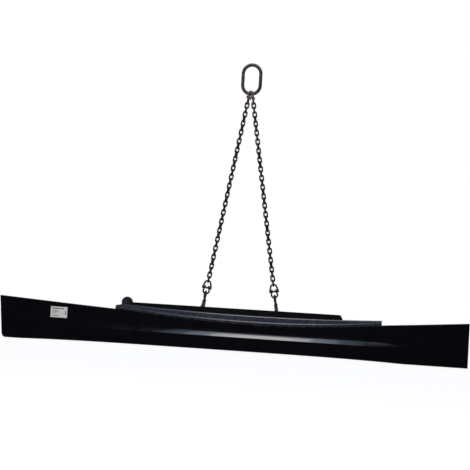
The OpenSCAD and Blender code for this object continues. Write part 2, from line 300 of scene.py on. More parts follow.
# ---- finishes
class Tree:
    """A node tree that is wired by short calls."""

    def __init__(self, tree: bpy.types.NodeTree) -> None:
        """Keep the tree and clear it."""
        self.tree = tree
        tree.nodes.clear()

    def add(self, kind: str, inputs: dict | None = None, **settings: object) -> bpy.types.Node:
        """Add a node.

        Args:
            kind: Node type, without its ShaderNode prefix.
            inputs: Socket name or number to a value, or to the socket that feeds it.
            settings: Attributes of the node.

        Returns:
            The node.
        """
        node = self.tree.nodes.new(kind if kind.startswith("NodeGroup") else "ShaderNode" + kind)
        for key, value in settings.items():
            setattr(node, key, value)
        for key, value in (inputs or {}).items():
            if isinstance(value, bpy.types.NodeSocket):
                self.tree.links.new(value, node.inputs[key])
            else:
                node.inputs[key].default_value = value
        return node

    def maths(self, operation: str, a: object, b: object = 0.0,
              clamp: bool = False) -> bpy.types.NodeSocket:
        """Add a Math node on two values or sockets and return its result."""
        return self.add("Math", {0: a, 1: b}, operation=operation, use_clamp=clamp).outputs[0]

    def between(self, mask: object, a: object, b: object) -> bpy.types.NodeSocket:
        """Blend two colours by a mask and return the colour."""
        node = self.add("Mix", {0: mask, 6: a, 7: b}, data_type="RGBA")
        return node.outputs[2]

    def ranged(self, value: object, low: float, high: float, to_low: float = 0.0,
               to_high: float = 1.0) -> bpy.types.NodeSocket:
        """Map a range of values to another, with an eased and limited ramp."""
        return self.add("MapRange", {0: value, 1: low, 2: high, 3: to_low, 4: to_high},
                        interpolation_type="SMOOTHSTEP").outputs[0]


def effect(name: str, inputs: dict[str, object], outputs: Sequence[str],
           wire: Callable[[Tree, bpy.types.Node], dict[str, bpy.types.NodeSocket]]) -> bpy.types.NodeTree:
    """Build a shared effect once, as a node group.

    Args:
        name: Name of the group.
        inputs: Input names with their first values; a None value makes a vector input.
        outputs: Names of the values it gives.
        wire: Wires the inside; given the tree and the input node, it returns what feeds each output.

    Returns:
        The node group.
    """
    group = bpy.data.node_groups.new(name, "ShaderNodeTree")
    for label, value in inputs.items():
        kind = "NodeSocketVector" if value is None else "NodeSocketFloat"
        socket = group.interface.new_socket(name=label, in_out="INPUT", socket_type=kind)
        if value is not None:
            socket.default_value = value
    for label in outputs:
        group.interface.new_socket(name=label, in_out="OUTPUT", socket_type="NodeSocketFloat")
    tree = Tree(group)
    given = tree.add("NodeGroupInput")
    tree.add("NodeGroupOutput", wire(tree, given))
    return group


def wire_grain(tree: Tree, given: bpy.types.Node) -> dict[str, bpy.types.NodeSocket]:
    """Fine surface grain with broad, slow cloudiness.

    Args:
        tree: The group's tree.
        given: Its input node.

    Returns:
        The height of the grain and the mask of the clouds.
    """
    place, scale = given.outputs["Place"], given.outputs["Scale"]
    fine = tree.add("TexNoise", {"Vector": place, "Scale": scale, "Detail": 4.0, "Roughness": 0.6})
    coarse = tree.add("TexNoise", {"Vector": place, "Scale": tree.maths("MULTIPLY", scale, 0.08),
                                   "Detail": 3.0, "Roughness": 0.55})
    height = tree.maths("ADD", tree.maths("MULTIPLY", fine.outputs[0], 0.7),
                        tree.maths("MULTIPLY", coarse.outputs[0], 0.3))
    return {"Height": height, "Clouds": tree.ranged(coarse.outputs[0], 0.32, 0.68)}


def wire_edge_wear(tree: Tree, given: bpy.types.Node) -> dict[str, bpy.types.NodeSocket]:
    """Paint rubbed off along edges, broken up by noise.

    Args:
        tree: The group's tree.
        given: Its input node.

    Returns:
        The mask of the bare edges.
    """
    round_normal = tree.add("Bevel", {"Radius": given.outputs["Width"]}, samples=6)
    true_normal = tree.add("NewGeometry")
    turn = tree.add("VectorMath", {0: round_normal.outputs[0], 1: true_normal.outputs["Normal"]},
                    operation="DOT_PRODUCT")
    edge = tree.ranged(turn.outputs["Value"], 0.995, 0.90)
    broken = tree.add("TexNoise", {"Vector": given.outputs["Place"], "Scale": given.outputs["Breakup"],
                                   "Detail": 5.0, "Roughness": 0.7})
    rubbed = tree.maths("MULTIPLY", edge, tree.ranged(broken.outputs[0], 0.40, 0.62))
    return {"Mask": tree.maths("MULTIPLY", rubbed, given.outputs["Amount"], clamp=True)}


def wire_dust(tree: Tree, given: bpy.types.Node) -> dict[str, bpy.types.NodeSocket]:
    """Dust that settles on what faces up, in soft patches.

    Args:
        tree: The group's tree.
        given: Its input node.

    Returns:
        The mask of the dust.
    """
    up = tree.add("SeparateXYZ", {0: tree.add("NewGeometry").outputs["Normal"]}).outputs["Z"]
    patches = tree.add("TexNoise", {"Vector": given.outputs["Place"], "Scale": given.outputs["Scale"],
                                    "Detail": 6.0, "Roughness": 0.65})
    lying = tree.maths("MULTIPLY", tree.ranged(up, 0.1, 1.0, 0.12, 1.0),
                       tree.ranged(patches.outputs[0], 0.35, 0.75))
    return {"Mask": tree.maths("MULTIPLY", lying, given.outputs["Amount"], clamp=True)}


def wire_scratches(tree: Tree, given: bpy.types.Node) -> dict[str, bpy.types.NodeSocket]:
    """Hairline scratches, in two directions, only here and there.

    Args:
        tree: The group's tree.
        given: Its input node.

    Returns:
        The mask of the scratches.
    """
    place, scale = given.outputs["Place"], given.outputs["Scale"]
    marks = []
    for turn in (0.35, -0.6):
        lined = tree.add("Mapping", {"Vector": place, "Rotation": (0.4, turn, 0.2),
                                     "Scale": (0.06, 1.0, 1.0)})
        lines = tree.add("TexNoise", {"Vector": lined.outputs[0], "Scale": scale, "Detail": 2.0})
        near = tree.maths("ABSOLUTE", tree.maths("SUBTRACT", lines.outputs[0], 0.5))
        marks.append(tree.ranged(near, 0.008, 0.002))
    broad = tree.maths("MULTIPLY", scale, 0.1)
    where = tree.add("TexNoise", {"Vector": place, "Scale": broad, "Detail": 2.0})
    found = tree.maths("MULTIPLY", tree.maths("MAXIMUM", *marks), tree.ranged(where.outputs[0], 0.5, 0.7))
    return {"Mask": tree.maths("MULTIPLY", found, given.outputs["Amount"], clamp=True)}


def wire_block(tree: Tree, given: bpy.types.Node) -> dict[str, bpy.types.NodeSocket]:
    """A plain printed block between two heights and two sides.

    Args:
        tree: The group's tree.
        given: Its input node.

    Returns:
        The mask of the block.
    """
    place = tree.add("SeparateXYZ", {0: given.outputs["Place"]})
    inside = [tree.maths("GREATER_THAN", place.outputs["X"], given.outputs["Left"]),
              tree.maths("LESS_THAN", place.outputs["X"], given.outputs["Right"]),
              tree.maths("GREATER_THAN", place.outputs["Z"], given.outputs["Low"]),
              tree.maths("LESS_THAN", place.outputs["Z"], given.outputs["High"])]
    return {"Mask": tree.maths("MULTIPLY", tree.maths("MULTIPLY", *inside[:2]),
                               tree.maths("MULTIPLY", *inside[2:]))}


class Effects:
    """The effects that the finishes share, built once."""

    def __init__(self) -> None:
        """Build every node group."""
        place = {"Place": None}
        self.grain = effect("surface_grain", place | {"Scale": 400.0}, ["Height", "Clouds"], wire_grain)
        self.wear = effect("edge_wear", place | {"Width": 0.001, "Breakup": 300.0, "Amount": 0.5}, ["Mask"],
                           wire_edge_wear)
        self.dust = effect("settled_dust", place | {"Scale": 30.0, "Amount": 0.2}, ["Mask"], wire_dust)
        self.scratches = effect("fine_scratches", place | {"Scale": 60.0, "Amount": 0.3}, ["Mask"],
                                wire_scratches)
        self.block = effect("plain_block", place | {"Left": 0.0, "Right": 1.0, "Low": 0.0, "High": 1.0},
                            ["Mask"], wire_block)


@dataclass(frozen=True)
class Finish:
    """A painted or bare metal surface, with grain, worn edges, scratches and dust."""

    slot: str
    colour: Colour
    clouds: Colour
    roughness: float
    rough_spread: float = 0.08
    metallic: float = 0.0
    specular: float = 0.5
    coat: float = 0.0
    coat_roughness: float = 0.03
    grain: float = 600.0
    depth: float = 0.00005
    wear: float = 0.0
    wear_width: float = 0.0012
    wear_colour: Colour = (0.22, 0.21, 0.20)
    wear_roughness: float = 0.38
    scratches: float = 0.0
    dust: float = 0.1
    dust_colour: Colour = (0.20, 0.18, 0.16)

    def paint(self, effects: Effects) -> bpy.types.Material:
        """Build the material.

        Args:
            effects: The shared node groups.

        Returns:
            The material, named after its slot.
        """
        material = bpy.data.materials.new(self.slot)
        material.use_nodes = True
        tree = Tree(material.node_tree)
        place = tree.add("TexCoord").outputs["Object"]
        grain = tree.add("Group", node_tree=effects.grain)
        tree.tree.links.new(place, grain.inputs["Place"])
        grain.inputs["Scale"].default_value = self.grain
        bare = self.mask(tree, effects.wear, place, Width=self.wear_width, Breakup=220.0, Amount=self.wear)
        lines = self.mask(tree, effects.scratches, place, Scale=70.0, Amount=self.scratches)
        worn = tree.maths("MAXIMUM", bare, lines)
        dusty = self.mask(tree, effects.dust, place, Scale=24.0, Amount=self.dust)
        base = self.base_colour(tree, effects, place, grain.outputs["Clouds"])
        colour = tree.between(worn, base, (*self.wear_colour, 1))
        colour = tree.between(dusty, colour, (*self.dust_colour, 1))
        rough = tree.maths("ADD", tree.maths("MULTIPLY", grain.outputs["Clouds"], self.rough_spread),
                           self.roughness - self.rough_spread / 2)
        rough = tree.add("Mix", {0: worn, 2: rough, 3: self.wear_roughness}).outputs[0]
        rough = tree.add("Mix", {0: dusty, 2: rough, 3: 0.85}).outputs[0]
        bump = tree.add("Bump", {"Height": grain.outputs["Height"], "Distance": self.depth,
                                 "Strength": 1.0})
        shader = tree.add("BsdfPrincipled", {
            "Base Color": colour, "Roughness": rough, "Normal": bump.outputs[0],
            "Coat Weight": self.coat, "Coat Roughness": self.coat_roughness,
            "Specular IOR Level": self.specular})
        if self.metallic < 1 and (self.wear or self.scratches):
            tree.tree.links.new(tree.maths("MAXIMUM", worn, self.metallic), shader.inputs["Metallic"])
        else:
            shader.inputs["Metallic"].default_value = self.metallic
        tree.add("OutputMaterial", {"Surface": shader.outputs[0]})
        material.diffuse_color = (*self.colour, 1)
        return material

    @staticmethod
    def mask(tree: Tree, group: bpy.types.NodeTree, place: bpy.types.NodeSocket,
             **values: float) -> bpy.types.NodeSocket:
        """Place a shared effect.

        Args:
            tree: The material's tree.
            group: The effect.
            place: Object coordinates.
            values: The effect's own values.

        Returns:
            The effect's mask.
        """
        node = tree.add("Group", node_tree=group)
        tree.tree.links.new(place, node.inputs["Place"])
        for key, value in values.items():
            node.inputs[key].default_value = value
        return node.outputs["Mask"]

    def base_colour(self, tree: Tree, effects: Effects, place: bpy.types.NodeSocket,
                    clouds: bpy.types.NodeSocket) -> bpy.types.NodeSocket:
        """Cloud the two base colours into each other."""
        return tree.between(clouds, (*self.colour, 1), (*self.clouds, 1))


@dataclass(frozen=True)
class Label(Finish):
    """A printed plate with plain grey blocks instead of lettering."""

    low: tuple[float, float, float] = (0.0, 0.0, 0.0)
    size: tuple[float, float, float] = (1.0, 1.0, 1.0)
    ink: Colour = (0.16, 0.16, 0.17)
    blocks: tuple[tuple[float, float, float, float], ...] = ()

    def base_colour(self, tree: Tree, effects: Effects, place: bpy.types.NodeSocket,
                    clouds: bpy.types.NodeSocket) -> bpy.types.NodeSocket:
        """Print each block, given as shares (left, right, low, high) of the plate.

        Args:
            tree: The material's tree.
            effects: The shared node groups.
            place: Object coordinates.
            clouds: Mask that clouds the plate's two colours.

        Returns:
            The colour of the printed plate.
        """
        colour = super().base_colour(tree, effects, place, clouds)
        for left, right, low, high in self.blocks:
            sides = {"Left": self.low[0] + self.size[0] * left, "Right": self.low[0] + self.size[0] * right,
                     "Low": self.low[2] + self.size[2] * low, "High": self.low[2] + self.size[2] * high}
            colour = tree.between(self.mask(tree, effects.block, place, **sides), colour, (*self.ink, 1))
        return colour


class Paintshop:
    """All finishes by slot name, painted when first asked for."""

    def __init__(self) -> None:
        """Set every finish."""
        low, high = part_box("rating_label")
        self.effects = Effects()
        self.painted: dict[str, bpy.types.Material] = {}
        finishes = [
            Finish("cover_gloss", (0.0030, 0.0026, 0.0042), (0.0042, 0.0036, 0.0054), 0.16, 0.05,
                   specular=0.45, coat=1.0, coat_roughness=0.05, grain=260.0, depth=0.000004, dust=0.015,
                   dust_colour=(0.06, 0.06, 0.07)),
            Finish("ledge_satin", (0.018, 0.020, 0.032), (0.026, 0.028, 0.042), 0.28, 0.10, specular=0.5,
                   coat=0.6, coat_roughness=0.12, grain=500.0, depth=0.000012, dust=0.05,
                   dust_colour=(0.09, 0.09, 0.11)),
            Finish("rail_satin", (0.0040, 0.0036, 0.0050), (0.0075, 0.0066, 0.0085), 0.42, 0.12,
                   specular=0.35, grain=900.0, depth=0.00003, wear=0.25, scratches=0.12, dust=0.05),
            Finish("frame_black", (0.010, 0.010, 0.011), (0.020, 0.019, 0.019), 0.48, 0.14, specular=0.4,
                   grain=800.0, depth=0.00006, wear=0.45, scratches=0.2, dust=0.22),
            Finish("chain_black", (0.007, 0.0065, 0.007), (0.015, 0.013, 0.012), 0.42, 0.16, metallic=0.25,
                   grain=1100.0, depth=0.00008, wear=0.3, wear_width=0.0016, dust=0.06),
            Finish("hook_black", (0.011, 0.010, 0.011), (0.028, 0.021, 0.019), 0.44, 0.14, metallic=0.2,
                   grain=900.0, depth=0.00010, wear=0.4, wear_width=0.002, dust=0.06,
                   wear_colour=(0.16, 0.13, 0.12)),
            Finish("coupler_red", (0.085, 0.026, 0.024), (0.030, 0.014, 0.014), 0.46, 0.14,
                   grain=900.0, depth=0.00010, wear=0.55, wear_width=0.002, wear_colour=(0.18, 0.13, 0.12),
                   scratches=0.25, dust=0.08),
            Finish("master_steel", (0.030, 0.022, 0.023), (0.055, 0.036, 0.034), 0.42, 0.16, metallic=0.5,
                   grain=800.0, depth=0.00010, wear=0.35, wear_width=0.003, scratches=0.3, dust=0.05),
            Finish("pin_steel", (0.16, 0.15, 0.145), (0.09, 0.08, 0.075), 0.36, 0.12, metallic=1.0,
                   grain=1200.0, depth=0.00003, dust=0.06),
            Finish("bright_steel", (0.48, 0.47, 0.45), (0.34, 0.33, 0.32), 0.28, 0.10, metallic=1.0,
                   grain=1400.0, depth=0.00002, dust=0.04),
            Finish("latch_steel", (0.20, 0.185, 0.16), (0.13, 0.12, 0.105), 0.38, 0.12, metallic=0.9,
                   grain=1300.0, depth=0.00003, wear=0.3, dust=0.06),
            Finish("zinc_steel", (0.52, 0.52, 0.50), (0.36, 0.37, 0.38), 0.34, 0.16, metallic=1.0,
                   grain=700.0, depth=0.00003, scratches=0.2, dust=0.08),
            Label("label_white", (0.92, 0.92, 0.91), (0.88, 0.88, 0.86), 0.42, 0.10, grain=900.0,
                  depth=0.00001, scratches=0.15, dust=0.08, low=tuple(low), size=tuple(high - low),
                  blocks=((0.10, 0.80, 0.80, 0.88), (0.88, 0.93, 0.30, 0.62), (0.10, 0.42, 0.62, 0.66),
                          (0.10, 0.50, 0.50, 0.54), (0.10, 0.36, 0.38, 0.42), (0.10, 0.46, 0.14, 0.19))),
        ]
        self.finishes = {finish.slot: finish for finish in finishes}

    def coat(self, obj: bpy.types.Object, slot: str) -> None:
        """Give an object one finish all over.

        Args:
            obj: The object.
            slot: Material slot of the record.
        """
        if slot not in self.painted:
            self.painted[slot] = self.finishes[slot].paint(self.effects)
        if not obj.data.materials:
            obj.data.materials.append(self.painted[slot])
        for i in range(len(obj.data.materials)):
            obj.data.materials[i] = self.painted[slot]


@dataclass
class Assembly:
    """What every sub-assembly shares: the frame and the paintshop."""

    frame: dict
    shop: Paintshop
    pieces: int = field(default=0, init=False)

    def fit(self, obj: bpy.types.Object, slot: str, body: str, *nodes: str) -> bpy.types.Object:
        """Dress a new piece and let it ride on a body.

        Args:
            obj: The finished piece.
            slot: Material slot of the record.
            body: Body that carries it.
            nodes: CAD nodes that it stands for.

        Returns:
            The piece.
        """
        self.shop.coat(obj, slot)
        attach(obj, body)
        if nodes:
            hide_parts(*nodes)
        self.pieces += 1
        log.info("%s rides on %s, %d faces", obj.name, body, len(obj.data.polygons))
        return obj

    def keep(self, node: str, slot: str, edge: float = 0.4 * MM, segments: int = 2) -> None:
        """Keep a CAD node, with its edges broken and a finish on it.

        Args:
            node: Name of the node.
            slot: Material slot of the record.
            edge: Width of the rounded edge.
            segments: Segments across the rounded edge.
        """
        obj = self.frame["nodes"][node]
        for polygon in obj.data.polygons:
            polygon.use_smooth = True
        weld = obj.modifiers.new("weld", "WELD")
        weld.merge_threshold = 0.00001
        if edge:
            bevel = obj.modifiers.new("edges", "BEVEL")
            bevel.width, bevel.segments, bevel.limit_method = edge, segments, "ANGLE"
            bevel.angle_limit = math.radians(32)
            bevel.use_clamp_overlap = True
        weighted = obj.modifiers.new("normals", "WEIGHTED_NORMAL")
        weighted.keep_sharp, weighted.weight = False, 70
        self.shop.coat(obj, slot)
        self.pieces += 1
        log.info("%s kept with the finish %s", node, slot)

    def forge(self, node: str, slot: str, body: str, grain: float = 0.8 * MM, rounds: int = 6,
              swell: float = 0.4 * MM) -> None:
        """Stand a forging, with flowing corners, in the place of a CAD node.

        Args:
            node: Name of the node.
            slot: Material slot of the record.
            body: Body that carries it.
            grain: Size of the cells that the surface is rebuilt from.
            rounds: Rounds of smoothing; more give larger fillets.
            swell: How far the surface is let out, which makes up for the smoothing.
        """
        piece = place_copy(self.frame["nodes"][node], "forged_" + node, Matrix.Identity(4))
        piece.data.materials.clear()
        with editing(piece):
            bpy.ops.mesh.select_all(action="SELECT")
            bpy.ops.mesh.remove_doubles(threshold=0.00001)
        finish_with(piece, "REMESH", mode="VOXEL", voxel_size=grain, use_smooth_shade=True)
        finish_with(piece, "SMOOTH", factor=0.5, iterations=rounds)
        finish_with(piece, "DISPLACE", strength=swell, mid_level=0.0)
        soften(piece, 60)
        self.fit(piece, slot, body, node)


# ---- sling
@dataclass
class OvalRing:
    """A ring of round wire with two straight sides and a weld on one of them."""

    bend_r: float
    half: float
    wire_r: float
    weld: float
    around: int = 28
    across: int = 12

    def build(self, name: str) -> bpy.types.Object:
        """Bend the ring in the XZ plane about the origin, its weld on the -X side.

        Args:
            name: Name of the ring.

        Returns:
            The ring.
        """
        half_step = math.pi / self.around
        bpy.ops.object.select_all(action="DESELECT")
        bpy.ops.mesh.primitive_torus_add(major_segments=self.around, minor_segments=self.across,
                                         major_radius=self.bend_r, minor_radius=self.wire_r,
                                         rotation=(math.pi / 2, half_step, 0))
        ring = take(name)
        with editing(ring):
            for side in (1, -1):
                choose(ring, Kind.VERTS, lambda v: v.co.z * side > 0)
                bpy.ops.transform.translate(value=(0, 0, side * self.half))
            reach = min(0.8 * self.half, 1.1 * self.wire_r)
            for z in (-reach, -0.45 * reach, 0, 0.45 * reach, reach):
                bpy.ops.mesh.select_all(action="SELECT")
                bpy.ops.mesh.bisect(plane_co=(0, 0, z), plane_no=(0, 0, 1))
            for spread, growth in ((0.5, 0.6), (0.1, 0.4)):
                choose(ring, Kind.VERTS, lambda v: v.co.x < 0 and abs(v.co.z) < spread * reach)
                bpy.ops.transform.shrink_fatten(value=self.weld * growth)
        soften(ring, 50)
        return ring


@dataclass
class Leg(Assembly):
    """One chain leg, from its top coupler to its hook."""

    side: int = 1
    bow_z: float = -97.5 * MM
    angle: float = math.asin(200 / 1226.2)
    first_link: float = 109.05 * MM
    pitch: float = 24 * MM
    in_group: int = 8
    groups: int = 5
    slack_twist: float = -18
    twist_run: int = 4
    joint_share: float = 0.3
    unevenness: float = 1.8
    coupler_swell: float = 0.1 * MM
    link: OvalRing = field(default_factory=lambda: OvalRing(9.2 * MM, 7.05 * MM, 4 * MM, 0.55 * MM))

    @property
    def name(self) -> str:
        """Left or right, as in the names of the nodes."""
        return "left" if self.side < 0 else "right"

    @property
    def hang(self) -> Matrix:
        """The leg's own frame: its origin in the middle of the bow, -Z down the leg."""
        return Matrix.Translation((0, 0, self.bow_z)) @ Matrix.Rotation(-self.side * self.angle, 4, "Y")

    def chain(self) -> None:
        """Bend one link and copy it down the leg in groups, with less twist where two groups meet."""
        pattern = self.link.build(f"{self.name}_link_pattern")
        last = self.groups * self.in_group - 1
        for group in range(self.groups):
            links = []
            for k in range(self.in_group):
                number = group * self.in_group + k
                free = smooth(min(number, last - number) / self.twist_run)
                free *= mix(self.joint_share, 1, math.sin(math.pi * k / (self.in_group - 1)))
                uneven = self.unevenness * math.sin(2.7 * number + self.side)
                twist = free * (self.slack_twist + uneven)
                turn = twist + (0 if k % 2 == 0 else 90)
                down = Matrix.Translation((0, 0, -self.first_link - number * self.pitch))
                turned = self.hang @ down @ Matrix.Rotation(math.radians(turn), 4, "Z")
                links.append(place_copy(pattern, f"link_{number}", turned))
            chain = join(links, f"{self.name}_links_{group + 1}")
            node = f"{self.name}_chain_{group + 1}"
            self.fit(chain, "chain_black", node, node)
        discard(pattern)

    def couplers(self) -> None:
        """Forge the coupler halves and finish their pins and bushes."""
        for end in ("top", "bottom"):
            part, body = f"{self.name}_{end}", f"{self.name}_{end}_coupler"
            for half in ("upper_half", "lower_half"):
                self.forge(f"{part}_{half}", "coupler_red", body, grain=0.7 * MM, rounds=5,
                           swell=self.coupler_swell)
            self.keep(f"{part}_pin", "pin_steel", 0.8 * MM, 3)
            self.keep(f"{part}_bush", "bright_steel", 0.5 * MM)

    def hook(self) -> None:
        """Forge the hook and finish its latch, pin and spring."""
        self.forge(f"{self.name}_hook", "hook_black", f"{self.name}_hook", grain=0.8 * MM, rounds=8)
        self.keep(f"{self.name}_latch", "latch_steel", 0.35 * MM)
        self.keep(f"{self.name}_latch_pin", "bright_steel", 0.4 * MM)
        self.keep(f"{self.name}_latch_spring", "bright_steel", 0)

    def build(self) -> None:
        """Make the whole leg."""
        self.chain()
        self.couplers()
        self.hook()


@dataclass
class MasterLink(Assembly):
    """The oval ring that the crane hook holds."""

    ring: OvalRing = field(default_factory=lambda: OvalRing(46.5 * MM, 30 * MM, 9 * MM, 0.0, 56, 20))

    def build(self) -> None:
        """Bend the ring and hang it at the origin."""
        low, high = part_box("master_link")
        pattern = self.ring.build("master_pattern")
        ring = place_copy(pattern, "oval_master_link", Matrix.Translation((low + high) / 2))
        discard(pattern)
        self.fit(ring, "master_steel", "master_link", "master_link")


# ---- beam
@dataclass
class Cover(Assembly):
    """The formed front cover. Its sizes are in the beam's own measures: millimetres, Z from the base."""

    left: float = -1270
    right: float = 1170
    end_h: float = 222
    waist_h: float = 150
    waist_x: float = 100
    waist_r_left: float = 7100
    waist_r_right: float = 5500
    crease_h: float = 80
    cove_r: float = 66
    camber: float = 9
    camber_x: float = -150
    camber_half: float = 1000
    hollow_left: tuple[float, float] = (-1020, 480)
    hollow_right: tuple[float, float] = (1080, 420)
    flat_turn: float = 3
    hollow_turn: float = 42
    crease_rise: float = 10
    neck: float = 9
    face_y: float = -88
    lip: float = 22
    foot: float = 20
    corner_r: float = 20
    sheet: float = 2
    left_ramp_x: float = -585
    right_ramp_x: float = 740
    lean: float = 20
    lean_run: float = 120
    bend_steps: int = 5
    arc_steps: int = 14
    count: int = 200
    base_z: float = field(init=False)

    def __post_init__(self) -> None:
        """Take the base's height from the frame."""
        self.base_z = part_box("front_skin")[0].z

    def place(self, x: float, y: float, z: float) -> Vector:
        """Turn the beam's measures into a place in the frame, with the left end leaning."""
        near = clamp01(1 - (x - self.left) / self.lean_run)
        return Vector(((x + self.lean * near * (1 - z / self.end_h)) * MM, y * MM, z * MM + self.base_z))

    def dip(self, x: float) -> float:
        """Height of the top edge along the middle."""
        rise = self.waist_r_left if x < self.waist_x else self.waist_r_right
        return self.waist_h + (x - self.waist_x) ** 2 / 2 / rise

    def top(self, x: float) -> float:
        """Height of the top edge, with a straight ramp at each end.

        Args:
            x: Place along the beam.

        Returns:
            The height over the base.
        """
        if x < self.left_ramp_x:
            fall = (self.end_h - self.dip(self.left_ramp_x)) / (self.left_ramp_x - self.left)
            return self.end_h - fall * (x - self.left)
        if x > self.right_ramp_x:
            along = (x - self.right_ramp_x) / (self.right - self.right_ramp_x)
            return mix(self.dip(self.right_ramp_x), self.end_h + 2, along)
        return self.dip(x)

    def bottom(self, x: float) -> float:
        """Height of the bottom edge, which rises in a round corner at the left end.

        Args:
            x: Place along the beam.

        Returns:
            The height over the base.
        """
        rise = self.camber * max(0.0, 1 - ((x - self.camber_x) / self.camber_half) ** 4)
        d = x - self.left
        if d < self.corner_r:
            rise += self.corner_r - math.sqrt(self.corner_r ** 2 - (self.corner_r - d) ** 2)
        return rise

    def hollow(self, x: float) -> float:
        """How deep the hollow is: 1 along the middle, 0 at the flat ends."""
        (left, left_run), (right, right_run) = self.hollow_left, self.hollow_right
        return smooth((x - left) / left_run) * smooth((right - x) / right_run)

    def section(self, x: float) -> Section:
        """Draw the cover's outward line, from the bottom lip to the top lip.

        Args:
            x: Place along the beam.

        Returns:
            The line's points (y, z).
        """
        w = self.hollow(x)
        base, top = self.bottom(x), self.top(x)
        crease = self.crease_h + self.crease_rise * (1 - w)
        turn = math.radians(self.flat_turn + self.hollow_turn * w)
        front = self.face_y - 2
        depth = self.cove_r * (1 - math.cos(turn))
        neck = (front + self.neck * math.sin(turn), crease + self.neck * math.cos(turn), 0)
        low = rounded([(self.face_y + self.foot, base, 0), (self.face_y, base, 6), (front, crease, 3.2),
                       neck], self.bend_steps)
        arc = []
        for i in range(2, self.arc_steps + 1):
            q = turn * (1 - i / self.arc_steps)
            arc.append((front + depth - self.cove_r * (1 - math.cos(q)),
                        crease + self.cove_r * (math.sin(turn) - math.sin(q))))
        high = rounded([(*arc[-1], 0), (front + depth, top, 1.2), (front + depth + self.lip, top, 0)], 4)
        return low[:-1] + arc + high[1:]

    def stations(self) -> list[float]:
        """Places of the sections: close together round the left corner, then evenly spaced."""
        corner = [self.left + self.corner_r * (1 - math.cos(math.radians(a))) for a in range(0, 90, 9)]
        start = self.left + self.corner_r
        return corner + [mix(start, self.right, i / self.count) for i in range(self.count + 1)]

    def form(self, name: str, slot: str, node: str) -> None:
        """Form the sheet, give it thickness and round its cut edges.

        Args:
            name: Name of the piece.
            slot: Material slot of the record.
            node: CAD node that it stands for.
        """
        skin = formed_sheet(name, self.stations(), self.section, self.place)
        finish_with(skin, "SOLIDIFY", thickness=self.sheet * MM, offset=-1.0, use_even_offset=False)
        finish_with(skin, "BEVEL", width=0.5 * MM, segments=2, limit_method="ANGLE",
                    angle_limit=math.radians(50))
        soften(skin, 35)
        self.fit(skin, slot, "beam", node)

    def build(self) -> None:
        """Form the cover."""
        self.form("gloss_front_cover", "cover_gloss", "front_skin")


@dataclass
class Ledge(Cover):
    """The ledge cap on the cover's top edge."""

    ledge_left: float = -645
    ledge_right: float = 738
    ledge_h: float = 194
    front_y: float = -69
    lip_gap: float = 0.2
    run_in: float = 40
    run_in_h: float = 20
    bead_h: float = 13
    fold_drop: float = 6.5
    inner: float = 24.5
    rise_r: float = 12500
    slope: float = math.radians(17)
    run_in_steps: int = 10
    count: int = 130

    def section(self, x: float) -> Section:
        """Draw the cap's outward line, from its lower bead to its upper fold.

        Args:
            x: Place along the beam.

        Returns:
            The line's points (y, z).
        """
        edge, y = self.top(x) + self.lip_gap, self.front_y
        full = self.ledge_h + (x - self.waist_x) ** 2 / 2 / self.rise_r
        top = mix(edge + self.run_in_h, full, smooth((x - self.ledge_left) / self.run_in))
        bead, fold = edge + self.bead_h, top - self.fold_drop
        back = y + 1 + (fold - bead) * math.tan(self.slope)
        middle = ((y + 1 + back) / 2, (bead + fold) / 2)
        foot = [(y + 8, edge), (y + 1, edge)]
        nose = [(y - 2.4, edge + 1.6), (y - 3.4, edge + 6), (y - 2.4, edge + 10.4), (y + 0.8, bead)]
        shoulder = [(back, fold), (back + 2.2, top - 2.6), (back + 5.5, top - 0.6), (y + self.inner, top)]
        return curved([*foot, *nose, middle, *shoulder], 4)

    def stations(self) -> list[float]:
        """Places of the sections, closer together where the cap runs in."""
        start = self.ledge_left + self.run_in
        run_in = [mix(self.ledge_left, start, i / self.run_in_steps) for i in range(self.run_in_steps)]
        return run_in + [mix(start, self.ledge_right, i / self.count) for i in range(self.count + 1)]

    def place(self, x: float, y: float, z: float) -> Vector:
        """Turn the beam's measures into a place in the frame."""
        return Vector((x * MM, y * MM, z * MM + self.base_z))

    def build(self) -> None:
        """Form the cap."""
        self.form("formed_ledge_cap", "ledge_satin", "ledge_cap")


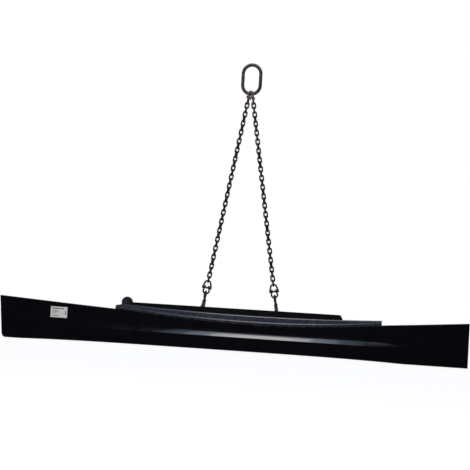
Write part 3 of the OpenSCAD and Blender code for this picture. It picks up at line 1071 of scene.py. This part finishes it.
@dataclass
class Spine(Assembly):
    """The hollow section with its round corners, its caps and its weld beads."""

    corner_r: float = 6 * MM
    wall: float = 6 * MM
    bead_r: float = 2.8 * MM
    ripple: float = 3.2 * MM
    corner_gap: float = 5 * MM
    rib_bead_foot: float = 8 * MM
    rib_bead_length: float = 60 * MM
    lifting_bead_half: float = 60 * MM
    load_bead_half: float = 45 * MM

    def tube(self) -> None:
        """Round the long edges of a block, take its ends off and give it a wall."""
        low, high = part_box("spine_tube")
        bpy.ops.object.select_all(action="DESELECT")
        bpy.ops.mesh.primitive_cube_add(size=1, location=(low + high) / 2, scale=high - low)
        tube = take("hollow_section")
        with editing(tube):
            choose(tube, Kind.EDGES, lambda e: abs(e.verts[0].co.x - e.verts[1].co.x) > self.corner_r)
            bpy.ops.mesh.bevel(offset=self.corner_r, segments=6)
            choose(tube, Kind.FACES, lambda f: abs(f.normal.x) > 0.9)
            bpy.ops.mesh.delete(type="FACE")
        finish_with(tube, "SOLIDIFY", thickness=self.wall, offset=-1.0)
        finish_with(tube, "BEVEL", width=0.4 * MM, segments=2, limit_method="ANGLE",
                    angle_limit=math.radians(60))
        soften(tube)
        self.fit(tube, "frame_black", "beam", "spine_tube")

    def bead(self, start: Vector, end: Vector) -> bpy.types.Object:
        """Draw a ball out into a rippled weld bead.

        Args:
            start: One end of the bead.
            end: The other end.

        Returns:
            The bead.
        """
        run = end - start
        rings = max(8, int(run.length / self.ripple) * 3)
        bpy.ops.object.select_all(action="DESELECT")
        bpy.ops.mesh.primitive_uv_sphere_add(segments=8, ring_count=rings, radius=1)
        bead = take("bead")
        for vertex in bead.data.vertices:
            t = 1 - math.acos(max(-1.0, min(1.0, vertex.co.z))) / math.pi
            flat = Vector((vertex.co.x, vertex.co.y, 0))
            ends = min(1.0, 9 * t, 9 * (1 - t)) ** 0.5
            wave = 1 + 0.10 * math.cos(math.tau * t * run.length / self.ripple)
            radius = self.bead_r * ends * wave
            outwards = flat.normalized() * radius if flat.length > 1e-6 else flat
            vertex.co = outwards + Vector((0, 0, t * run.length))
        bead.data.transform(Matrix.Translation(start) @ run.to_track_quat("Z", "Y").to_matrix().to_4x4())
        return bead

    def seams(self) -> list[tuple[Vector, Vector]]:
        """Find where beads run: along the feet of the lugs, beside the ribs and round the caps.

        Returns:
            The two ends of each bead.
        """
        tube_low, tube_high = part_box("spine_tube")
        found = []
        for side in ("left", "right"):
            for lug, z in (("lifting_lug", tube_high.z), ("load_lug", tube_low.z)):
                low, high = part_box(f"{side}_{lug}")
                middle = (low.x + high.x) / 2
                half = self.lifting_bead_half if lug == "lifting_lug" else self.load_bead_half
                for y in (low.y, high.y):
                    found.append((Vector((middle - half, y, z)), Vector((middle + half, y, z))))
            low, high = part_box(f"{side}_spine_cap")
            x = low.x if side == "right" else high.x
            gap = self.corner_gap
            for y in (tube_low.y, tube_high.y):
                found.append((Vector((x, y, tube_low.z + gap)), Vector((x, y, tube_high.z - gap))))
            for z in (tube_low.z, tube_high.z):
                found.append((Vector((x, tube_low.y + gap, z)), Vector((x, tube_high.y - gap, z))))
        return found + self.rib_seams(tube_low)

    def rib_seams(self, tube_low: Vector) -> list[tuple[Vector, Vector]]:
        """Find the beads up both faces of each rib, where it meets the section's front wall.

        Args:
            tube_low: Lowest corner of the section.

        Returns:
            The two ends of each bead.
        """
        mesh = self.frame["nodes"]["ribs"].data
        at_wall = sorted({round(v.co.x, 4) for v in mesh.vertices if abs(v.co.y - tube_low.y) < 0.0005})
        foot = tube_low.z + self.rib_bead_foot
        head = foot + self.rib_bead_length
        return [(Vector((x, tube_low.y, foot)), Vector((x, tube_low.y, head))) for x in at_wall]

    def build(self) -> None:
        """Make the section, its caps and its beads."""
        self.tube()
        for side in ("left", "right"):
            self.keep(f"{side}_spine_cap", "frame_black", 1.0 * MM)
        beads = join([self.bead(start, end) for start, end in self.seams()], "weld_beads")
        soften(beads, 60)
        self.fit(beads, "frame_black", "beam")


@dataclass
class Fittings(Assembly):
    """Plates, lugs and fasteners of the beam."""

    def build(self) -> None:
        """Keep each node, with edges and a finish to suit it."""
        for side in ("left", "right"):
            self.keep(f"{side}_lifting_lug", "frame_black", 1.2 * MM, 3)
            self.keep(f"{side}_load_lug", "frame_black", 1.2 * MM, 3)
            self.keep(f"{side}_end_plate", "frame_black", 0.5 * MM)
        self.keep("lug_rail", "rail_satin", 1.0 * MM, 3)
        self.keep("rail_stop", "ledge_satin", 1.6 * MM, 4)
        self.keep("ribs", "frame_black", 0.5 * MM)
        self.keep("rail_brackets", "frame_black", 0.8 * MM)
        for fastener in ("cover_bolts", "rail_bolts", "cover_nuts", "rail_nuts"):
            self.keep(fastener, "zinc_steel", 0.5 * MM)
        self.keep("rating_label", "label_white", 0.5 * MM)


# ---- studio
@dataclass(frozen=True)
class Softbox:
    """An area light that points at a place."""

    name: str
    centre: tuple[float, float, float]
    size: tuple[float, float]
    radiance: float
    aim: tuple[float, float, float]
    in_gloss: bool = True
    colour: Colour = (1.0, 1.0, 1.0)

    def hang(self) -> None:
        """Put the light up, out of the camera's sight."""
        lamp = bpy.data.lights.new(self.name, "AREA")
        lamp.shape, lamp.color = "RECTANGLE", self.colour
        lamp.size, lamp.size_y = self.size
        lamp.energy = self.radiance * math.pi * self.size[0] * self.size[1]
        obj = bpy.data.objects.new(self.name, lamp)
        bpy.context.scene.collection.objects.link(obj)
        towards = Vector(self.aim) - Vector(self.centre)
        turn = towards.to_track_quat("-Z", "Y").to_matrix().to_4x4()
        obj.matrix_world = Matrix.Translation(self.centre) @ turn
        obj.visible_camera = False
        obj.visible_glossy = self.in_gloss


@dataclass
class Studio:
    """Camera, lights, backdrop and floor."""

    target: tuple[float, float, float] = (-0.0438, 0.0, -0.8882)
    distance: float = 5.0
    azimuth: float = math.radians(7.55)
    elevation: float = math.radians(-1.09)
    roll: float = math.radians(3.14)
    lens: float = 73.0
    floor_drop: float = 1.0
    floor_size: tuple[float, float] = (24.0, 16.0)
    floor_front: float = -0.6

    def camera(self) -> None:
        """Stand the camera in front, turned and rolled a little."""
        camera = bpy.data.objects.new("camera", bpy.data.cameras.new("camera"))
        bpy.context.scene.collection.objects.link(camera)
        camera.data.lens, camera.data.sensor_width = self.lens, 36
        flat = math.cos(self.elevation)
        back = Vector((math.sin(self.azimuth) * flat, -math.cos(self.azimuth) * flat,
                       math.sin(self.elevation)))
        right = Vector((math.cos(self.azimuth), math.sin(self.azimuth), 0))
        turn = Matrix((right, back.cross(right), back)).transposed() @ Matrix.Rotation(self.roll, 3, "Z")
        camera.matrix_world = Matrix.Translation(Vector(self.target) + back * self.distance) @ turn.to_4x4()
        bpy.context.scene.camera = camera

    def lights(self) -> None:
        """Hang nested softboxes over the front, brightest in the middle, and fill from front and back."""
        beam = (0.0, 0.0, -1.4)
        over, across = 0.45, -0.07
        warm, white, blue = (1.0, 0.98, 0.95), (1.0, 1.0, 1.0), (0.62, 0.78, 1.0)
        nested = (("core", 0.22, -1.30, -0.40, 5.2, warm), ("inner", 0.36, -1.55, -0.30, 4.2, white),
                  ("outer", 0.55, -1.90, -0.20, 1.9, blue), ("far", 0.74, -2.30, -0.10, 0.6, blue))
        for name, half, front, back, radiance, colour in nested:
            middle = (front + back) / 2
            Softbox(f"overhead_{name}", (across, middle, over), (2 * half, back - front), radiance,
                    (across, middle, beam[2]), colour=colour).hang()
        Softbox("overhead_wide", (0.0, -0.6, over), (3.0, 2.6), 0.6, (0.0, -0.6, beam[2]),
                in_gloss=False).hang()
        Softbox("front_fill", (-1.2, -4.0, 0.6), (2.0, 2.0), 5.0, beam, in_gloss=False).hang()
        Softbox("back_fill", (1.2, 3.2, 0.8), (2.4, 1.6), 2.4, beam).hang()

    def surroundings(self) -> None:
        """A white backdrop for the camera, with a room that is dim in front and lighter behind."""
        world = bpy.data.worlds.new("studio")
        world.use_nodes = True
        bpy.context.scene.world = world
        tree = Tree(world.node_tree)
        way = tree.add("SeparateXYZ", {0: tree.add("TexCoord").outputs["Generated"]})
        behind = tree.ranged(way.outputs["Y"], -0.1, 0.9, 0.014, 0.45)
        room = tree.add("Background", {"Color": (0.85, 0.9, 1.0, 1), "Strength": behind})
        white = tree.add("Background", {"Color": (1, 1, 1, 1), "Strength": 1.0})
        seen = tree.add("LightPath").outputs["Is Camera Ray"]
        both = tree.add("MixShader", {0: seen, 1: room.outputs[0], 2: white.outputs[0]})
        tree.add("OutputWorld", {"Surface": both.outputs[0]})
        bpy.context.scene.view_settings.view_transform = "Standard"

    def floor(self) -> None:
        """Lay a plain pale floor well below the beam, with its front edge half a metre before the beam."""
        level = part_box("front_skin")[0].z - self.floor_drop
        bpy.ops.object.select_all(action="DESELECT")
        middle = self.floor_front + self.floor_size[1] / 2
        bpy.ops.mesh.primitive_plane_add(size=1, location=(0, middle, level))
        bpy.context.object.scale = (*self.floor_size, 1)
        floor = take("studio_floor")
        material = bpy.data.materials.new("pale_floor")
        material.use_nodes = True
        tree = Tree(material.node_tree)
        shader = tree.add("BsdfPrincipled", {"Base Color": (0.9, 0.9, 0.9, 1), "Roughness": 0.9,
                                             "Emission Color": (1, 1, 1, 1), "Emission Strength": 0.85})
        tree.add("OutputMaterial", {"Surface": shader.outputs[0]})
        floor.data.materials.append(material)

    def build(self) -> None:
        """Set the whole studio up."""
        self.camera()
        self.lights()
        self.surroundings()
        self.floor()


def main() -> None:
    """Load the frame, then build the studio, the sling and the beam in order."""
    logging.basicConfig(level=logging.INFO, format="%(name)s: %(message)s")
    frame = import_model()
    Studio().build()
    shop = Paintshop()
    parts = [MasterLink(frame, shop), Leg(frame, shop, side=-1), Leg(frame, shop, side=1),
             Cover(frame, shop), Ledge(frame, shop), Spine(frame, shop), Fittings(frame, shop)]
    for part in parts:
        part.build()
        log.info("%s: %d pieces", type(part).__name__, part.pieces)


if __name__ == "__main__":
    main()
